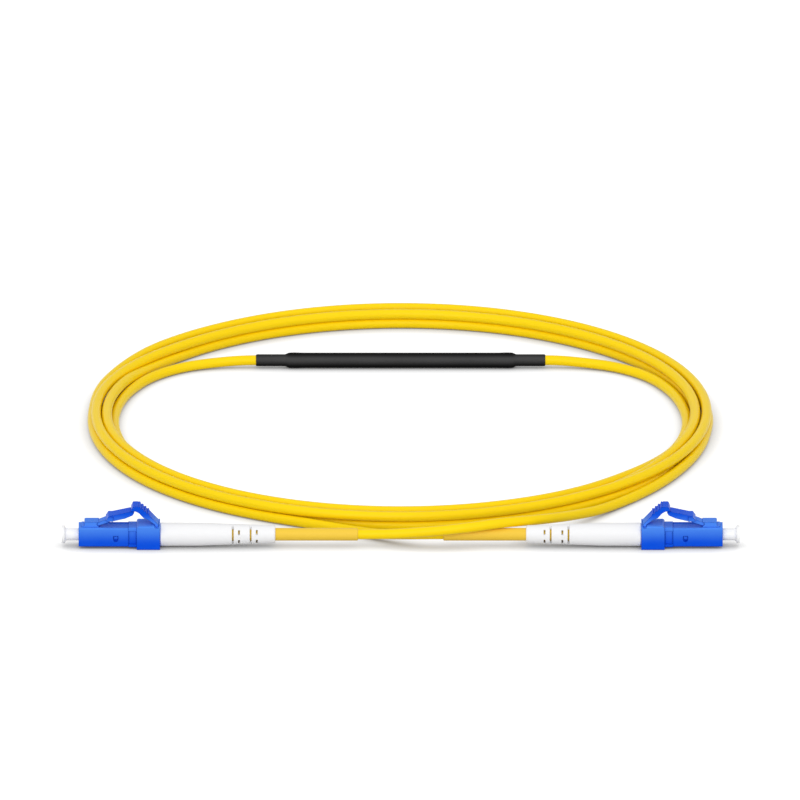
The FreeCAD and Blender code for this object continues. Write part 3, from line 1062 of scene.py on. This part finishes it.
@dataclass
class Plug:
    """One latching plug with its boot, sleeve and dust cap."""

    side: Side
    cap_stem_d: float = 2.76 * MM
    cap_rim_d: float = 4.1 * MM
    cap_rim_t: float = 0.7 * MM
    cap_flare_len: float = 0.65 * MM
    cap_bore_d: float = 1.35 * MM
    cap_bore_depth: float = 4.7 * MM
    cap_edge: float = 0.14 * MM
    cap_flare_steps: int = 8
    cap_sides: int = 48
    spring_wire: float = 0.3 * MM
    spring_turns: float = 6.0
    spring_stroke: float = 0.8 * MM
    spring_closing: float = 0.04
    spring_steps: int = 24
    spring_sides: int = 10

    def dress(self, shop: Workshop) -> None:
        """Gives the plug's CAD pieces that stay in the scene their finishes.

        Args:
            shop: Where the finishes come from.
        """
        finishes = {
            "housing": BLUE_PLUG,
            "latch": BLUE_PLUG,
            "rear_body": BLUE_PLUG,
            "trigger": BLUE_PLUG,
            "ferrule": WHITE_CERAMIC,
            "ferrule_flange": NICKEL,
            "spring_stop": BLUE_PLUG,
            "crimp_ring": NICKEL,
            "buffer_fibre": WHITE_BUFFER,
            "boot": WHITE_BOOT,
            "stiffening_sleeve": YELLOW_SLEEVE,
            "cable_end": YELLOW_JACKET,
            "cable_stub": YELLOW_JACKET,
        }
        for piece, finish in finishes.items():
            shop.paint(self.side.node(piece), finish)

    def build_cap(self, shop: Workshop) -> None:
        """Turns the dust cap with its flared grip and rounded rim.

        Args:
            shop: Where the finish comes from.
        """
        node = self.side.node("dust_cap")
        low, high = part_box(node)
        length = high[0] - low[0]
        stem = self.cap_stem_d / 2
        rim = self.cap_rim_d / 2
        bore = self.cap_bore_d / 2
        rim_x = length - self.cap_rim_t
        bore_end = (self.cap_bore_depth, 0.0)
        flare = []
        for step in range(1, self.cap_flare_steps + 1):
            angle = math.pi / 2 * step / self.cap_flare_steps
            along = rim_x - self.cap_flare_len * (1 - math.sin(angle))
            flare.append((along, stem + (rim - stem) * (1 - math.cos(angle))))
        outline = [
            *corner_arc(bore_end, (0.0, bore), (0.0, stem), self.cap_edge),
            *corner_arc((0.0, bore), (0.0, stem), (rim_x, stem), self.cap_edge),
            (rim_x - self.cap_flare_len, stem),
            *flare,
            *corner_arc((rim_x, rim), (length, rim), (length, 0.0), self.cap_edge),
            (length, 0.0),
            bore_end,
            (self.cap_bore_depth, bore),
        ]
        placed = [(self.side.value * along, radius) for along, radius in outline]
        centre = Vector(end_of(node, self.side.opposite()))
        mesh = turned_mesh(self.side.node("turned_cap"), placed, centre, self.cap_sides)
        mesh.materials.append(shop.finish(MILKY_CAP))
        shop.add(self.side.node("turned_cap"), mesh, self.side.node("cap"), "clear_cap", node)

    def build_spring(self, shop: Workshop, tree: PathTree) -> None:
        """Winds the ferrule's spring, with closer turns at its ends and in its middle.

        Args:
            shop: Where the finish comes from.
            tree: The tree that sweeps the wire.
        """
        node = self.side.node("ferrule_spring")
        low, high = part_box(node)
        length = high[0] - low[0]
        radius = (high[2] - low[2] - self.spring_wire) / 2
        start = low[0] + self.spring_wire / 2
        rise = length - self.spring_wire
        axle = Vector((0.0, *middle_of(node)[1:]))
        count = round(self.spring_turns * self.spring_steps)
        points = []
        for index in range(count + 1):
            share = index / count
            along = share - math.sin(4 * math.pi * share) * self.spring_closing
            angle = 2 * math.pi * self.spring_turns * share
            spoke = Vector((start + rise * along, radius * math.cos(angle), radius * math.sin(angle)))
            points.append(spoke + axle)
        name = self.side.node("wound_spring")
        mesh = tree.sweep(name, points, self.spring_wire, self.spring_sides, shop.finish(STEEL))
        piece = shop.add(name, mesh, ROOT_BODY, "spring_steel", node)
        self.side.node("ferrule_slide")
        end_of(node, self.side.opposite())
        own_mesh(piece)


@dataclass
class SpliceTube:
    """The black shrink tube with the guarded splice inside."""

    body_len: float = 51.3 * MM
    shoulder_len: float = 1.1 * MM
    end_d: float = 2.76 * MM
    bore_d: float = 2.34 * MM
    flare: float = 0.06 * MM
    flare_len: float = 1.2 * MM
    lip: float = 0.1 * MM
    rings: int = 240
    sides: int = 64

    def radius(self, along: float, half: float, big: float) -> float:
        """The tube's outer radius at one place.

        Args:
            along: The distance from the tube's middle.
            half: Half of its whole length.
            big: The body's radius.

        Returns:
            The radius, with a slight swell before soft shoulders and a lip that tucks in at the end.
        """
        away = abs(along)
        shoulder = self.body_len / 2
        share = eased(away, shoulder + self.shoulder_len, shoulder)
        swell = self.flare * math.exp(-(((away - shoulder + self.flare_len) / self.flare_len) ** 2))
        tuck = self.lip * max(0.0, 1 - (half - away) / self.lip) ** 2
        return self.end_d / 2 + (big - self.flare - self.end_d / 2) * share + swell - tuck

    def build(self, shop: Workshop) -> None:
        """Turns the tube round the cable and the splice guard, and dresses what is inside.

        Args:
            shop: Where the finishes come from.
        """
        low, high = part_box("shrink_tube")
        half = (high[0] - low[0]) / 2
        big = (high[2] - low[2]) / 2
        outline = []
        for index in range(self.rings + 1):
            along = -half + 2 * half * index / self.rings
            outline.append((along, self.radius(along, half, big)))
        outline += [(half, self.bore_d / 2), (-half, self.bore_d / 2)]
        mesh = turned_mesh("shrunk_tube", outline, Vector(middle_of("shrink_tube")), self.sides)
        mesh.materials.append(shop.finish(BLACK_TUBE))
        shop.add("shrunk_tube", mesh, ROOT_BODY, "black_tube", "shrink_tube")
        shop.paint("splice_guard", STEEL)
        shop.paint("splice_fibre", WHITE_BUFFER)


@dataclass
class Studio:
    """White table, soft light and the camera."""

    elevation: float = 19.9
    distance: float = 8.0
    frame_width: float = 0.184
    look_at: Point = (-0.00015, 0.03827, 0.0)
    sensor: float = 36.0
    front_light: float = 1.26
    back_light: float = 0.3
    front_place: Point = (-0.6, -3.0, 1.56)
    front_power: float = 27.0
    front_size: float = 2.4
    top_place: Point = (0.1, 0.15, 0.95)
    top_power: float = 0.215
    top_size: float = 0.3
    table_reach: float = 3.0
    floor_colour: Colour = (0.88, 0.88, 0.88)
    bounce_colour: Colour = (0.6, 0.6, 0.6)
    floor_glow: float = 1.35
    glow_share: float = 0.65
    # Reach of the painted contact shadow in the floor's glow.
    painted_shadow_reach: float = 0.0045

    def build_camera(self) -> None:
        """Places a long lens at the photograph's viewing angle."""
        data = bpy.data.cameras.new("camera")
        data.sensor_width = self.sensor
        data.lens = self.sensor * self.distance / self.frame_width
        data.clip_end = 3 * self.distance
        camera = bpy.data.objects.new("camera", data)
        bpy.context.collection.objects.link(camera)
        tilt = math.radians(self.elevation)
        back = Vector((0.0, -math.cos(tilt), math.sin(tilt))) * self.distance
        camera.location = Vector(self.look_at) + back
        camera.rotation_euler = (math.pi / 2 - tilt, 0.0, 0.0)
        bpy.context.scene.camera = camera

    @staticmethod
    def _seen_directly(graph: Graph) -> Socket:
        """Tells the rays that show the background from those that only carry light.

        Args:
            graph: The graph that asks.

        Returns:
            1 for rays from the camera, a gloss or a clear piece, and 0 for the rest.
        """
        path = graph.node("ShaderNodeLightPath")
        seen = graph.value(path, "Is Camera Ray")
        seen = seen.largest(graph.value(path, "Is Glossy Ray"))
        return seen.largest(graph.value(path, "Is Transmission Ray"))

    def build_floor(self) -> None:
        """Lays a white table that glows a little; near the cable and plugs the glow is darkened by ambient
        occlusion, a painted contact shadow.
        """
        reach = self.table_reach
        mesh = bpy.data.meshes.new("table")
        signs = ((-1, -1), (1, -1), (1, 1), (-1, 1))
        corners = [(across * reach, deep * reach, 0.0) for across, deep in signs]
        mesh.from_pydata(corners, [], [(0, 1, 2, 3)])
        table = bpy.data.objects.new("table", mesh)
        bpy.context.collection.objects.link(table)
        material, graph = new_material("white_table")
        paper = graph.node("ShaderNodeBsdfDiffuse", None, {"Color": (*self.floor_colour, 1.0)})
        # Painted shadow: ambient occlusion darkens the glow near the cable and plugs.
        painted_shadow = graph.node("ShaderNodeAmbientOcclusion", {"samples": 16}, {"Distance": self.painted_shadow_reach})
        glow = graph.node(
            "ShaderNodeEmission", None, {"Color": painted_shadow.outputs["Color"], "Strength": self.floor_glow}
        )
        sockets = {0: self.glow_share, 1: paper.outputs[0], 2: glow.outputs[0]}
        shown = graph.node("ShaderNodeMixShader", None, sockets)
        felt = graph.node("ShaderNodeBsdfDiffuse", None, {"Color": (*self.bounce_colour, 1.0)})
        sockets = {0: self._seen_directly(graph), 1: felt.outputs[0], 2: shown.outputs[0]}
        mixed = graph.node("ShaderNodeMixShader", None, sockets)
        graph.node("ShaderNodeOutputMaterial", None, {"Surface": mixed.outputs[0]})
        mesh.materials.append(material)

    def build_world(self) -> None:
        """Surrounds the table with white light that is stronger from the front than from the back."""
        world = bpy.data.worlds.new("white_room")
        world.use_nodes = True
        graph = Graph(world.node_tree)
        away = graph.value(graph.node("ShaderNodeTexCoord"), "Generated")
        depth = graph.value(graph.node("ShaderNodeSeparateXYZ", None, {0: away}), "Y")
        white = (1.0, 1.0, 1.0, 1.0)
        front, back, shown = (
            graph.node("ShaderNodeBackground", None, {"Color": white, "Strength": strength}).outputs[0]
            for strength in (self.front_light, self.back_light, 1.0)
        )
        light = graph.node("ShaderNodeMixShader", None, {0: depth * 0.5 + 0.5, 1: front, 2: back})
        sockets = {0: self._seen_directly(graph), 1: light.outputs[0], 2: shown}
        mixed = graph.node("ShaderNodeMixShader", None, sockets)
        graph.node("ShaderNodeOutputWorld", None, {"Surface": mixed.outputs[0]})
        bpy.context.scene.world = world

    def build_lamps(self) -> None:
        """Hangs a large soft box far out in front and a small one overhead."""
        lamps = (
            ("front_box", self.front_place, self.front_power, self.front_size),
            ("top_box", self.top_place, self.top_power, self.top_size),
        )
        for name, place, power, size in lamps:
            data = bpy.data.lights.new(name, "AREA")
            data.energy = power
            data.size = size
            lamp = bpy.data.objects.new(name, data)
            bpy.context.collection.objects.link(lamp)
            lamp.location = place
            lamp.visible_camera = False
            aim = Vector(self.look_at) - Vector(place)
            lamp.rotation_euler = aim.to_track_quat("-Z", "Y").to_euler()

    def build(self) -> None:
        """Makes the whole studio."""
        self.build_camera()
        self.build_floor()
        self.build_world()
        self.build_lamps()
        bpy.context.scene.view_settings.view_transform = "Standard"


def main() -> None:
    """Builds the studio, the cables, the plugs and the splice tube."""
    logging.basicConfig(level=logging.INFO, format="%(name)s: %(message)s")
    shop = Workshop()
    tree = PathTree()
    Studio().build()
    for cable in (CABLE_FROM_LEFT, CABLE_FROM_RIGHT):
        cable.build(shop, tree)
    for side in Side:
        plug = Plug(side)
        plug.dress(shop)
        plug.build_cap(shop)
        plug.build_spring(shop, tree)
    SpliceTube().build(shop)


if __name__ == "__main__":
    main()
